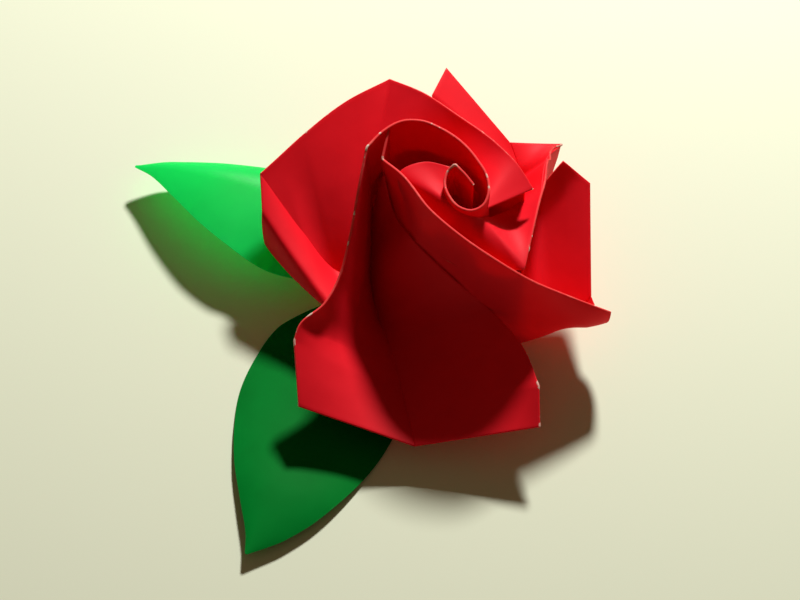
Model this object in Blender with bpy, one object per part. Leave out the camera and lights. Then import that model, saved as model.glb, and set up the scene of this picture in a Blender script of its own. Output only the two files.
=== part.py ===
"""A paper rose with two paper leaves.

The rose is one square of coated red paper, folded into a bud whose four walls turn round each
other and open into four petals.  The leaves are cut from green paper, curled, and glued by
their inner ends under the rose's petals, beside its base.  Lengths in the tables are
millimetres, x to the right, y to the back and z up, from the middle of the base at table level.
"""

import math

import bmesh
import bpy
import numpy as np
from mathutils import Vector

MM = 0.001

# Sheet sizes
ROSE_SHEET = 0.36  # two layers of coated paper, folded together
LEAF_SHEET = 0.24
BASE_SHEET = 0.8  # the folded and locked layers of the base
LAP = 0.2  # how far the front petal's edge lies outside the wall that it rests on
SEAT = 0.07  # how far the other sheets' ends stay off the middle of the sheet that they meet
WALL_TOP = 0.97  # the share of a petal's height at which an outer wall hangs from it

# Heights
BASE_MID = BASE_SHEET / 2
CURL_DEPTH = 9.0  # how far the rolled wall at the middle reaches down from its edge
ARC_DEPTH = 15.0  # the same on the arc that runs from the roll to the first corner

# How finely the sheets are divided
STEPS_ALONG = 2
STEPS_UP = 6
NORMAL_STEP = 0.02  # the step, in stations, over which a surface's direction is measured
WELD = 1e-7  # metres


def lerp(a, b, share):
    """The point that lies at a share of the way from a to b."""
    return np.asarray(a) * (1 - share) + np.asarray(b) * share


def chord(points, index):
    """The vector from one point of a list to the next."""
    return points[index + 1] - points[index]


def slope(points, index, corners, side):
    """The direction of a curve at one of its points, for each millimetre along it."""
    last = len(points) - 1
    before = chord(points, index - 1) if index > 0 else None
    after = chord(points, index) if index < last else None
    if before is None or (index in corners and side > 0):
        before = after
    elif after is None or index in corners:
        after = before
    near, far = np.linalg.norm(before), np.linalg.norm(after)
    if near < 1e-6 or far < 1e-6:
        return np.zeros(3)
    return (before / near * far + after / far * near) / (near + far)


def curve_at(points, s, corners=()):
    """A smooth curve through points, straight-sided only at its corners."""
    index = min(int(s), len(points) - 2)
    t = s - index
    start, end = points[index], points[index + 1]
    length = np.linalg.norm(end - start)
    leave = slope(points, index, corners, 1) * length
    arrive = slope(points, index + 1, corners, -1) * length
    return (
        (2 * t**3 - 3 * t**2 + 1) * start
        + (t**3 - 2 * t**2 + t) * leave
        + (3 * t**2 - 2 * t**3) * end
        + (t**3 - t**2) * arrive
    )


class Loft:
    """A paper surface drawn between a foot line and a rim line, station by station."""

    def __init__(self, foot, rim, belly=0.0, corners=(), foot_corners=(), first=0):
        self.foot = [np.asarray(p, float) for p in foot]
        self.rim = [np.asarray(p, float) for p in rim]
        self.belly = np.broadcast_to(np.asarray(belly, float), len(self.rim))
        self.corners = corners
        self.foot_corners = foot_corners
        self.first = first  # the station of a shared foot line at which this surface starts

    def foot_at(self, s):
        return curve_at(self.foot, s + self.first, self.foot_corners)

    def rim_at(self, s):
        return curve_at(self.rim, s, self.corners)

    def at(self, s, h, lift=0.0):
        """The point at station s, at share h of the way from the foot line to the rim.

        A positive lift moves it off the surface, to the side that a positive belly bulges to.
        """
        low, high = self.foot_at(s), self.rim_at(s)
        arch = 4 * h * (1 - h)
        flat = lerp(low, high, h)
        bulge = np.interp(s, range(len(self.rim)), self.belly) * arch + lift
        if not bulge:
            return flat
        ahead = min(s + NORMAL_STEP, len(self.rim) - 1)
        back = ahead - NORMAL_STEP
        foot_run = self.foot_at(ahead) - self.foot_at(back)
        along = lerp(foot_run, self.rim_at(ahead) - self.rim_at(back), h)
        across = np.cross(along, high - low)
        length = np.linalg.norm(across)
        return flat if length < 1e-12 else flat + across / length * bulge

    def grid(self, steps_up=STEPS_UP):
        """The points of the whole surface, one list for each station."""
        stations = len(self.rim) - 1
        along = np.linspace(0, stations, stations * STEPS_ALONG + 1)
        return [[self.at(s, h) for h in np.linspace(0, 1, steps_up + 1)] for s in along]


def below(points, depth):
    """The points moved straight down."""
    return [np.asarray(p, float) - (0, 0, depth) for p in points]


def places_on(loft, places, lift=0.0):
    """The points of a surface at several stations and heights."""
    return [loft.at(s, h, lift) for s, h in places]


# The base, seen from above
SOUTH_WEST = np.array([-9.5, -4.5, BASE_MID])
SOUTH_EAST = np.array([9.0, -9.5, BASE_MID])
NORTH_EAST = np.array([13.0, 7.5, BASE_MID])
NORTH_WEST = np.array([-7.5, 12.0, BASE_MID])

# The front petal, and the wall that rolls up from it in the middle of the bud
CURL_RIM = [
    (4.2, 5.0, 27.0), (3.0, 6.5, 27.5), (1.3, 8.2, 28.0), (0.2, 7.6, 27.0), (-0.3, 6.2, 26.7),
    (0.3, 3.2, 26.7), (1.8, 1.3, 26.5), (3.8, 0.6, 26.5), (5.6, 1.4, 26.7), (6.5, 3.4, 27.0),
    (6.2, 6.9, 27.2), (5.0, 9.1, 27.4),
]
ARC_RIM = [
    (2.9, 12.1, 27.5), (-0.5, 15.0, 27.5), (-4.0, 16.7, 27.5), (-7.0, 16.8, 27.3), (-10.0, 15.0, 27.2),
]
FRONT_RIM = [
    (-12.6, 12.1, 27.0), (-13.8, 7.0, 24.0), (-15.4, 0.3, 18.5), (-17.3, -5.3, 15.0),
    (-19.4, -9.0, 14.0), (-23.4, -12.5, 13.0), (-24.2, -14.7, 12.0), (-23.4, -24.4, 8.0),
]
FRONT_CREASE = [
    (-11.9, 11.5, 8.0), (-12.2, 6.0, 4.5), (-12.0, 0.0, 2.3), (-10.8, -4.7, 0.78),
    (-9.4, -8.5, 0.78), (-8.0, -14.0, 1.7), (-6.7, -20.4, 2.8), (-5.0, -29.4, 4.0),
]
front_left = Loft(
    below(CURL_RIM, CURL_DEPTH) + below(ARC_RIM, ARC_DEPTH) + FRONT_CREASE,
    CURL_RIM + ARC_RIM + FRONT_RIM,
    corners=(2, 17, 23),
)

# The right petal
RIGHT_RIM = [
    front_left.at(15.7, WALL_TOP, -SEAT), (-10.2, 11.1, 25.0), (-6.9, 7.4, 26.0), (-2.6, 1.1, 26.0),
    (2.4, -3.3, 25.0), (9.4, -7.3, 22.5), (13.5, -8.3, 19.8), (18.2, -8.9, 17.0), (22.6, -9.6, 14.4),
    (26.6, -10.3, 12.0),
]
RIGHT_CREASE = [
    front_left.at(15.7, 0.1, -SEAT), (-8.0, 9.0, BASE_MID), (-8.7, 3.0, BASE_MID), SOUTH_WEST,
    (-2.0, -6.6, BASE_MID), SOUTH_EAST, (14.0, -9.0, 2.2), (18.0, -8.0, 3.6), (21.2, -6.4, 5.6),
    (23.4, -4.3, 8.0),
]
RIGHT_FOOT_CORNERS = (1, 3, 5)
right_left = Loft(
    RIGHT_CREASE, RIGHT_RIM,
    belly=[0, 0, 0, 0, 0, 0, 0.6, 1.4, 1.8, 1.4],
    corners=(1,), foot_corners=RIGHT_FOOT_CORNERS,
)

# The other half of the front petal, which laps over the right petal's wall
front_right = Loft(
    front_left.foot,
    places_on(right_left, [(1.1, 0.86), (1.7, 0.62), (2.9, 0.71), (4.0, 0.62), (4.8, 0.44)], LAP)
    + [(12.5, -15.7, 10.5), (14.6, -21.8, 10.0), (14.7, -27.8, 7.5)],
    belly=[0.0, 0.0, 0.6, 1.2, 1.0, 0.0, 0.0, 0.0],
    corners=(6,), first=17,
)

# The left petal
LEFT_SEATS = [(8.3, 0.75), (9.5, 0.7), (11.5, 0.55), (13.2, 0.45), (15.1, 0.37), (17.0, 0.35), (19.0, 0.35)]
LEFT_CREASE = places_on(front_left, LEFT_SEATS, SEAT) + [
    (-17.3, 1.4, 6.0), (-23.4, 6.8, 10.0), (-30.0, 14.4, 15.4),
]
LEFT_FOOT_CORNERS = (5, 6)
LEFT_RIM = [
    (13.8, 5.5, 25.0), (11.3, 9.9, 25.3), (8.2, 13.9, 25.0), (2.0, 20.1, 23.9), (-3.5, 25.4, 22.4),
    (-9.0, 29.7, 20.0), (-16.2, 26.3, 18.5), (-23.0, 21.0, 17.0), (-27.5, 16.8, 15.9), (-30.0, 14.4, 15.4),
]
left_left = Loft(LEFT_CREASE, LEFT_RIM, corners=(5,), foot_corners=LEFT_FOOT_CORNERS)
left_right = Loft(
    LEFT_CREASE,
    places_on(front_left, [(19.6, 0.5), (20.3, 0.5)], SEAT) + [(-19.4, -6.1, 9.0), (-29.4, 4.2, 12.0)],
    corners=(2,), foot_corners=LEFT_FOOT_CORNERS, first=6,
)

# The back petal, whose inner side runs on as a ramp round the roll
BACK_SEATS = [(2.6, 0.7), (4.0, 0.75), (5.0, 0.82), (5.6, 0.86), (6.2, 0.86), (7.0, 0.82), (8.0, 0.6)]
BACK_CREASE = places_on(front_left, BACK_SEATS, SEAT) + [
    (8.0, 4.6, 18.4), (10.6, 7.4, 15.0), (12.8, 10.2, 12.8), (13.8, 13.2, 12.4), (12.9, 16.4, 14.0),
    (10.7, 20.0, 16.0),
]
BACK_RIM = [
    (0.5, 9.6, 25.0), (-3.5, 10.5, 25.0), (-7.5, 8.8, 24.5),
    *places_on(right_left, [(2.3, 0.8), (3.4, 0.72), (4.4, 0.75)], -SEAT),
    (12.2, -7.0, 21.0), (13.4, -1.4, 21.0), (15.0, 6.6, 20.0), (16.0, 11.0, 18.8), (16.5, 15.0, 17.8),
    (17.5, 18.8, 16.0), (19.2, 20.8, 14.0),
]
back_left = Loft(BACK_CREASE, BACK_RIM, corners=(6,))

# The outer walls of the bud, each hanging from the fold at the edge of a petal
east_wall = Loft(
    [(9.5, -8.8, BASE_MID), (10.7, -2.5, BASE_MID), NORTH_EAST, (15.5, 14.0, 5.0), (18.3, 19.8, 12.0)],
    [back_left.at(s, WALL_TOP) for s in (6, 7, 8, 10.5, 11.9)],
    foot_corners=(2,),
)
back_wall = Loft(
    [NORTH_EAST, (5.5, 9.8, BASE_MID), NORTH_WEST, (-7.0, 17.0, 6.0), (-8.5, 26.5, 15.0)],
    [left_left.at(s, WALL_TOP) for s in (0, 2, 2.8, 4.1, 4.9)],
    foot_corners=(2,),
)

# The outer halves of the right and back petals, which rest on those walls
right_right = Loft(
    RIGHT_CREASE,
    places_on(east_wall, [(0.1, 0.35), (0.9, 0.45), (2.1, 0.5)], SEAT)
    + [(19.2, 16.3, 16.0), (23.4, 12.8, 15.0)],
    corners=(3,), foot_corners=RIGHT_FOOT_CORNERS, first=5,
)
back_right = Loft(
    BACK_CREASE,
    places_on(back_wall, [(0.8, 0.3), (1.8, 0.5)], SEAT) + [(-2.2, 26.5, 20.0), (0.2, 31.9, 20.0)],
    corners=(2,), first=9,
)

# The leaves, both cut to one outline, straight at first on one side and full on the other: how
# far along from the tip, and how far the edge is from the spine there
STRAIGHT_SIDE = [
    (0, 0.0), (3.2, 1.3), (8.4, 4.6), (14.5, 8.4), (20, 10.9), (26.6, 12.9), (33.5, 13.1), (40.5, 11.8),
    (44.4, 9.1), (49, 4.8), (52, 0.0),
]
FULL_SIDE = [
    (0, 0.0), (4.5, 4.5), (8.9, 7.5), (15.4, 10.4), (21.3, 12.2), (26.6, 13.0), (34, 12.8), (41, 10.6),
    (47, 6.5), (52, 0.0),
]
LEAF_TIP_CUT = 0.5  # the very tip, which is rounded off
TIGHTEST_CURL = 0.45  # the smallest radius that the leaf paper is curled to
LEAF_STEPS = 22
LEAF_STEPS_ACROSS = 6


def table_at(table, place):
    """A value read from a table of (place, value) pairs."""
    return float(np.interp(place, [p[0] for p in table], [p[1] for p in table]))


class Leaf:
    """A paper leaf along a spine that is straight when seen from above, curled down on both sides.

    Each side is a pair of its cut outline and its turns: the degrees through which the paper
    turns down between the spine and the edge, at places along the spine.
    """

    def __init__(self, tip, heading, heights, right, left, cut_at):
        self.tip = np.array(tip, float)
        angle = math.radians(heading)
        self.along = np.array([math.cos(angle), math.sin(angle)])
        self.left_of_spine = np.array([-self.along[1], self.along[0]])
        self.heights = heights
        self.right = right
        self.left = left
        self.cut_at = cut_at

    def spine_z(self, run):
        """The spine's height at one place along it."""
        station = float(np.interp(run, [p[0] for p in self.heights], range(len(self.heights))))
        return curve_at([np.array(p, float) for p in self.heights], station)[1]

    def arc(self, run, side):
        """How far out and how far down the points of one side lie, from the spine to the edge."""
        outline, turns = side
        half = table_at(outline, run)
        turn = max(min(math.radians(table_at(turns, run)), half / TIGHTEST_CURL), 1e-6)
        shares = [k / LEAF_STEPS_ACROSS for k in range(LEAF_STEPS_ACROSS + 1)]
        radius = half / turn
        return [(radius * math.sin(turn * k), radius * (1 - math.cos(turn * k))) for k in shares]

    def row(self, run):
        """The points across the leaf at one place along it, from its right edge to its left."""
        right = [(-out, drop) for out, drop in reversed(self.arc(run, self.right))]
        ground = self.tip + self.along * run
        points = []
        for out, drop in right + self.arc(run, self.left)[1:]:
            x, y = ground + self.left_of_spine * out
            points.append((x, y, max(self.spine_z(run) - drop, LEAF_SHEET / 2)))
        return points

    def grid(self):
        """The points of the whole leaf, one list for each place along it."""
        return [self.row(run) for run in np.linspace(LEAF_TIP_CUT, self.cut_at, LEAF_STEPS)]


leaf_left = Leaf(
    tip=(-51.6, 22.9), heading=-18.0,
    heights=[(0, 4.0), (6, 6.2), (13, 7.5), (24, 7.5), (31, 6.9), (37, 6.3)],
    right=(STRAIGHT_SIDE, [(0, 8), (20, 8), (28, 18), (37, 0)]),
    left=(FULL_SIDE, [(0, 120), (8, 130), (14, 110), (20, 95), (28, 76), (37, 0)]),
    cut_at=37.0,
)
leaf_front = Leaf(
    tip=(-31.5, -47.3), heading=67.5,
    heights=[
        (0, 1.8), (6, 2.3), (12, 2.4), (18, 1.9), (26, 1.2), (34, 0.7), (41, 0.3), (44, 0.12), (47, 0.12),
    ],
    right=(FULL_SIDE, [(0, 20), (20, 12), (47, 0)]),
    left=(STRAIGHT_SIDE, [(0, 25), (20, 12), (47, 0)]),
    cut_at=47.0,
)


def clear_scene():
    """Removes the objects that a new file starts with."""
    for thing in list(bpy.data.objects):
        bpy.data.objects.remove(thing)


def paper(name, colour, roughness):
    """A material for one kind of paper."""
    material = bpy.data.materials.new(name)
    material.use_nodes = True
    shader = material.node_tree.nodes["Principled BSDF"]
    shader.inputs["Base Color"].default_value = (*colour, 1)
    shader.inputs["Roughness"].default_value = roughness
    shader.inputs["Metallic"].default_value = 0
    return material


def add_grid(bm, rows):
    """Adds one grid of points to a mesh, in metres."""
    made = [[bm.verts.new(Vector(p) * MM) for p in row] for row in rows]
    for near, far in zip(made, made[1:]):
        for k in range(len(near) - 1):
            bm.faces.new((near[k], far[k], far[k + 1], near[k + 1]))


def thick_object(name, bm, thickness):
    """An object with a mesh's faces as the middle of a sheet."""
    mesh = bpy.data.meshes.new(name)
    bm.to_mesh(mesh)
    bm.free()
    thing = bpy.data.objects.new(name, mesh)
    bpy.context.collection.objects.link(thing)
    solid = thing.modifiers.new("Thickness", "SOLIDIFY")
    solid.thickness = thickness * MM
    solid.offset = 0
    solid.use_rim = True
    return thing


def sheet_object(name, surfaces, thickness):
    """A sheet of paper that follows one or two surfaces, joined at the crease that they share."""
    bm = bmesh.new()
    for surface in surfaces:
        add_grid(bm, surface.grid())
    bmesh.ops.remove_doubles(bm, verts=bm.verts, dist=WELD)
    bmesh.ops.recalc_face_normals(bm, faces=bm.faces)
    return thick_object(name, bm, thickness)


def base_object(name):
    """The flat base, where the paper is folded over itself and locked."""
    bm = bmesh.new()
    corners = (SOUTH_WEST, SOUTH_EAST, NORTH_EAST, NORTH_WEST)
    bm.faces.new([bm.verts.new(Vector(p) * MM) for p in corners])
    return thick_object(name, bm, BASE_SHEET)


def join_to(carrier, sheets):
    """Joins helper sheets to a carrier, so that the folded paper is one solid."""
    for sheet in sheets:
        sheet.hide_render = True
        sheet.display_type = "WIRE"
        union = carrier.modifiers.new("Join " + sheet.name, "BOOLEAN")
        union.operation = "UNION"
        union.solver = "MANIFOLD"
        union.object = sheet


def main():
    """Builds the rose and its two leaves."""
    clear_scene()
    rose = base_object("rose")
    rose.data.materials.append(paper("coated_red_paper", (0.60, 0.008, 0.016), 0.35))
    sheets = {
        "front_petal": [front_left, front_right],
        "right_petal": [right_left, right_right],
        "back_petal": [back_left, back_right],
        "left_petal": [left_left, left_right],
        "east_wall": [east_wall],
        "back_wall": [back_wall],
    }
    join_to(rose, [sheet_object(name, surfaces, ROSE_SHEET) for name, surfaces in sheets.items()])
    green = paper("green_paper", (0.008, 0.52, 0.09), 0.45)
    for name, leaf in (("leaf_left", leaf_left), ("leaf_front", leaf_front)):
        sheet_object(name, [leaf], LEAF_SHEET).data.materials.append(green)


main()
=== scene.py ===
"""A folded paper rose with two curled paper leaves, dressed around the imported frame.

Lengths in the shape tables are millimetres, x to the right, y to the back and z up, from the
middle of the rose's base at table level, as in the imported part.
"""

from __future__ import annotations

import logging
import math
from collections.abc import Sequence
from dataclasses import dataclass, field
from enum import Enum

import bmesh
import bpy
import numpy as np
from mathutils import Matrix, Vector, noise


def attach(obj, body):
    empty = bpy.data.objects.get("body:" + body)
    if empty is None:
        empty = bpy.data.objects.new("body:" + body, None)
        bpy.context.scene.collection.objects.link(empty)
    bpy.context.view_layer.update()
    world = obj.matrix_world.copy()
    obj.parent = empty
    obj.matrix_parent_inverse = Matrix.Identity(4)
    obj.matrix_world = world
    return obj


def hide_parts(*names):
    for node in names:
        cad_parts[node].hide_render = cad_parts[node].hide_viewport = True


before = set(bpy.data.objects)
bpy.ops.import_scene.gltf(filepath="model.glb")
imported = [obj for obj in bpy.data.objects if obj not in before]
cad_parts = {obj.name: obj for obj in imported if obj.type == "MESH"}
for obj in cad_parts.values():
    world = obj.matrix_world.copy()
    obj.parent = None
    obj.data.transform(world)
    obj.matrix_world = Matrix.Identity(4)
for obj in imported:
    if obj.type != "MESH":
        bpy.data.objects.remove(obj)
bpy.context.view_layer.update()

LOG = logging.getLogger("paper_rose")
MM = 0.001
EDGE = "edge_mm"  # the distance of a point from the nearest folded edge
FAR = 9.0  # a distance in millimetres from which a folded edge no longer shows
UNDER_RIM = 0.97  # the share of a sheet's height that is just below its rim
OVER_FOOT = 0.04  # and the one just above its foot line
ROUND = tuple(1 - math.cos(k * math.pi / 8) for k in range(5))  # a quarter circle in four steps
Point = tuple[float, float, float]
Table = Sequence[tuple[float, float]]
Nodes = bpy.types.NodeTree
Socket = bpy.types.NodeSocket


def linear(hex_colour: str) -> tuple[float, float, float, float]:
    """Turns an sRGB hex colour to linear light.

    Args:
        hex_colour: Six hex digits.

    Returns:
        The linear red, green and blue, and an alpha of 1.
    """
    parts = (int(hex_colour[k : k + 2], 16) / 255 for k in (0, 2, 4))
    red, green, blue = (c / 12.92 if c <= 0.04045 else ((c + 0.055) / 1.055) ** 2.4 for c in parts)
    return red, green, blue, 1.0


def add_node(tree: Nodes, kind: str, settings: dict | None = None, **links: object) -> bpy.types.Node:
    """Adds one node with its settings and its inputs.

    Args:
        tree: The node tree that gets the node.
        kind: The node's type.
        settings: Attributes of the node, by name.
        **links: Inputs by name, with _ for a space, each a value or an output to link.

    Returns:
        The new node.
    """
    node = tree.nodes.new(kind)
    for name, value in (settings or {}).items():
        setattr(node, name, value)
    for name, value in links.items():
        place = int(name[1:]) if name[1:].isdigit() else name.replace("_", " ")
        if isinstance(value, Socket):
            tree.links.new(value, node.inputs[place])
        else:
            node.inputs[place].default_value = value
    return node


class PaperKind(Enum):
    """What a sheet is made of."""

    COATED_RED = "coated_red_craft_paper"
    GREEN = "green_craft_paper"
    # The green paper darkened with painted shade, for the front leaf that lies in the rose's shadow
    PAINTED_SHADE_GREEN = "green_craft_paper_with_painted_shade"
    BARE_CORE = "bare_paper_core"


@dataclass(frozen=True)
class PaperFinish:
    """A smooth craft paper, dyed or coated in one colour over a pale core.

    Calendered paper is even and a little shiny, with a fine felt of fibres that shows only as
    a soft break in the highlights.  Where a fold has been rubbed, the colour is gone and the
    core shows.
    """

    kind: PaperKind
    colour: str
    deep_colour: str
    core_colour: str
    roughness: float
    sheen_of_coating: float  # the shader's specular level, where 0.5 is a bare gloss film
    wear: float  # 0 for none, 1 for a fold that is bare all along
    film: float  # the refractive index of the surface, low where fibres break up the gloss
    glow: float  # the share of the light that goes through a face of the sheet
    through: str  # the colour of that light
    fibre_mm: float = 0.35  # fibres are finer, and are drawn this coarse so that they show
    mottle_mm: float = 9.0
    bump: float = 0.12
    relief_mm: float = 0.02  # how deep the felt of fibres is
    rub_patch_mm: float = 1.9  # the size of the patches that a fold is rubbed in
    rub_reach_mm: tuple[float, float] = (0.02, 0.42)  # how wide the rubbed band is, at least and at most
    rub_soft_mm: tuple[float, float] = (-0.16, 0.2)  # how softly it ends, outside and inside

    def material(self) -> bpy.types.Material:
        """Builds the node material of this paper.

        Returns:
            The material.
        """
        made = bpy.data.materials.new(self.kind.value)
        made.use_nodes = True
        tree = made.node_tree
        shader = tree.nodes["Principled BSDF"]
        place = add_node(tree, "ShaderNodeTexCoord").outputs["Object"]
        mottle = add_node(
            tree, "ShaderNodeTexNoise", Vector=place, Scale=1 / (self.mottle_mm * MM), Detail=3.0,
            Roughness=0.55,
        )
        tone = add_node(
            tree, "ShaderNodeMapRange", Value=mottle.outputs["Fac"], From_Min=0.35, From_Max=0.65
        )
        ground = add_node(
            tree, "ShaderNodeMix", {"data_type": "RGBA"},
            Factor=tone.outputs["Result"], _6=linear(self.deep_colour), _7=linear(self.colour),
        )
        colour = self._worn(tree, place, ground.outputs[2])
        fibre = add_node(
            tree, "ShaderNodeTexNoise", Vector=place, Scale=1 / (self.fibre_mm * MM), Detail=4.0,
            Roughness=0.7,
        )
        shine = add_node(
            tree, "ShaderNodeMapRange", Value=fibre.outputs["Fac"], To_Min=self.roughness - 0.05,
            To_Max=self.roughness + 0.07,
        )
        relief = add_node(
            tree, "ShaderNodeBump", Strength=self.bump, Distance=self.relief_mm * MM,
            Height=fibre.outputs["Fac"],
        )
        tree.links.new(colour, shader.inputs["Base Color"])
        tree.links.new(shine.outputs["Result"], shader.inputs["Roughness"])
        tree.links.new(relief.outputs["Normal"], shader.inputs["Normal"])
        shader.inputs["IOR"].default_value = self.film
        shader.inputs["Specular IOR Level"].default_value = self.sheen_of_coating
        through = add_node(tree, "ShaderNodeBsdfTranslucent", Color=linear(self.through))
        both = add_node(
            tree, "ShaderNodeMixShader", Fac=self.glow, _1=shader.outputs["BSDF"], _2=through.outputs["BSDF"]
        )
        tree.links.new(both.outputs["Shader"], tree.nodes["Material Output"].inputs["Surface"])
        return made

    def _worn(self, tree: Nodes, place: Socket, ground: Socket) -> Socket:
        """Lets the core show where folds and edges are rubbed.

        Args:
            tree: The material's tree.
            place: The surface's own coordinates.
            ground: The colour of the unworn paper.

        Returns:
            The colour of the paper with its wear.
        """
        edge = add_node(tree, "ShaderNodeAttribute", {"attribute_name": EDGE})
        patches = add_node(
            tree, "ShaderNodeTexNoise", Vector=place, Scale=1 / (self.rub_patch_mm * MM), Detail=5.0,
            Roughness=0.65,
        )
        reach = add_node(
            tree, "ShaderNodeMapRange", Value=patches.outputs["Fac"], From_Min=0.62 - 0.3 * self.wear,
            From_Max=0.8, To_Min=self.rub_reach_mm[0], To_Max=self.rub_reach_mm[1],
        )
        inside = add_node(
            tree, "ShaderNodeMath", {"operation": "SUBTRACT"}, _0=reach.outputs["Result"],
            _1=edge.outputs["Fac"],
        )
        rubbed = add_node(
            tree, "ShaderNodeMapRange", {"interpolation_type": "SMOOTHSTEP"}, Value=inside.outputs[0],
            From_Min=self.rub_soft_mm[0], From_Max=self.rub_soft_mm[1], To_Max=self.wear,
        )
        mixed = add_node(
            tree, "ShaderNodeMix", {"data_type": "RGBA"},
            Factor=rubbed.outputs["Result"], _6=ground, _7=linear(self.core_colour),
        )
        return mixed.outputs[2]


# Craft paper with a dyed coating on one face, calendered: deep and even in colour, with a wide soft
# highlight, and pale along rubbed folds.
RED_PAPER = PaperFinish(
    PaperKind.COATED_RED, colour="F81A2A", deep_colour="F01626", core_colour="F3A896",
    roughness=0.55, sheen_of_coating=0.5, film=1.22, wear=0.3, glow=0.2, through="FF2018",
)
# Thin craft paper, dyed right through: bright, a little shiny, and light passes it.
GREEN_PAPER = PaperFinish(
    PaperKind.GREEN, colour="14E87A", deep_colour="12DC70", core_colour="7FD98F",
    roughness=0.42, sheen_of_coating=0.35, film=1.45, wear=0.15, glow=0.62, through="60FFA8",
    mottle_mm=14.0,
)
# The green paper made darker and duller for the front leaf: the darker colour is painted shade, standing in
# for the rose's shadow that falls on that leaf, and this sheet passes less light.
PAINTED_SHADE_GREEN_PAPER = PaperFinish(
    PaperKind.PAINTED_SHADE_GREEN, colour="028A30", deep_colour="027E2A", core_colour="5FC07A",
    roughness=0.5, sheen_of_coating=0.3, film=1.15, wear=0.15, glow=0.2, through="10B040",
    mottle_mm=14.0,
)
# The undyed fibres under the red coating: matt, pale and stained pink by what is left of it.
BARE_CORE = PaperFinish(
    PaperKind.BARE_CORE, colour="F0CDBB", deep_colour="E39A8A", core_colour="F4E3CF",
    roughness=0.75, sheen_of_coating=0.3, film=1.3, wear=0.0, glow=0.1, through="F4C0A0", mottle_mm=2.0,
)


def lerp(a: Sequence[float] | np.ndarray, b: Sequence[float] | np.ndarray, share: float) -> np.ndarray:
    """The point that lies at a share of the way from a to b."""
    return np.asarray(a) * (1 - share) + np.asarray(b) * share


def below(points: Sequence[Point], depth: float) -> list[np.ndarray]:
    """The points moved straight down by a depth."""
    return [np.asarray(p, float) - (0, 0, depth) for p in points]


@dataclass
class Route:
    """A smooth line through points, which turns sharply only at its corners."""

    points: Sequence[Point | np.ndarray]
    corners: tuple[int, ...] = ()

    def __post_init__(self) -> None:
        """Turns the points to arrays."""
        self.points = [np.asarray(p, float) for p in self.points]

    def _slope(self, index: int, side: int) -> np.ndarray:
        """The direction at one point, for each millimetre along.

        Args:
            index: The point's place in the list.
            side: 1 for the stretch after the point, -1 for the one before.

        Returns:
            The direction.
        """
        points, last = self.points, len(self.points) - 1
        before = points[index] - points[index - 1] if index > 0 else None
        after = points[index + 1] - points[index] if index < last else None
        if before is None or (index in self.corners and side > 0):
            before = after
        elif after is None or index in self.corners:
            after = before
        near, far = np.linalg.norm(before), np.linalg.norm(after)
        if near < 1e-6 or far < 1e-6:
            return np.zeros(3)
        return (before / near * far + after / far * near) / (near + far)

    def at(self, s: float) -> np.ndarray:
        """The place at station s, counted in points of the list.

        Args:
            s: The station.

        Returns:
            The place.
        """
        index = min(int(s), len(self.points) - 2)
        t = s - index
        start, end = self.points[index], self.points[index + 1]
        length = np.linalg.norm(end - start)
        leave, arrive = self._slope(index, 1) * length, self._slope(index + 1, -1) * length
        return (
            (2 * t**3 - 3 * t**2 + 1) * start
            + (t**3 - 2 * t**2 + t) * leave
            + (3 * t**2 - 2 * t**3) * end
            + (t**3 - t**2) * arrive
        )


@dataclass(frozen=True)
class Bend:
    """A straight line across a sheet, past which the paper leans out of its plane.

    Places are pairs of a station along the sheet and a share of its height.  The part to the
    left of the way from start to end leans, seen from the side that the normals face.
    """

    start: tuple[float, float]
    end: tuple[float, float]
    lean: float  # millimetres out of the plane for each millimetre past the line
    stations: tuple[float, float]  # the stretch of the sheet that can lean
    reach: float = 8.0
    soft: float = 0.3
    mark: float = 0.0  # how worn the line is, from 0 to 1

    def offsets(self, surface: "Loft", grid: "Grid") -> tuple[np.ndarray, np.ndarray]:
        """Measures a grid against this line.

        Args:
            surface: The surface that bends.
            grid: Its points.

        Returns:
            How far past the line each point is, and how far it is from the line's own stretch.
        """
        start, end = surface.at(*self.start), surface.at(*self.end)
        length = np.linalg.norm(end - start)
        axis = (end - start) / length
        middle = (start + end) / 2
        nearest = np.argmin(np.linalg.norm(grid.points - middle, axis=2))
        facing = grid.normals().reshape(-1, 3)[nearest]
        out = grid.points - start
        run = out @ axis
        past = out @ np.cross(facing, axis)
        beyond = np.maximum(np.maximum(-run, run - length), 0)
        return past, np.hypot(past, beyond)

    def apply(self, surface: "Loft", grid: "Grid") -> None:
        """Bends a grid.

        Args:
            surface: The surface that bends.
            grid: Its points, which move, and whose worn lines gain this one.
        """
        past, gap = self.offsets(surface, grid)
        first, last = self.stations
        inside = (grid.s >= first) & (grid.s <= last)
        rise = self.lean * np.minimum(self.soft * np.logaddexp(0, past / self.soft), self.reach)
        grid.points = grid.points + grid.normals() * (rise * inside)[..., None]
        if self.mark:
            grid.edge = np.minimum(grid.edge, np.where(inside, gap / self.mark, FAR))


@dataclass
class Grid:
    """The points of one sheet's middle surface, with what its thickness and wear need."""

    points: np.ndarray
    s: np.ndarray  # the station of each point
    swell: np.ndarray  # share of the half thickness, 0 on the outline
    edge: np.ndarray  # distance from the nearest folded edge, in millimetres

    def normals(self) -> np.ndarray:
        """Works out the unit normals of the middle surface.

        Returns:
            One normal for each point.
        """
        along = np.gradient(self.points, axis=0)
        up = np.gradient(self.points, axis=1)
        across = np.cross(along, up)
        length = np.linalg.norm(across, axis=2, keepdims=True)
        return across / np.maximum(length, 1e-9)


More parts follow.
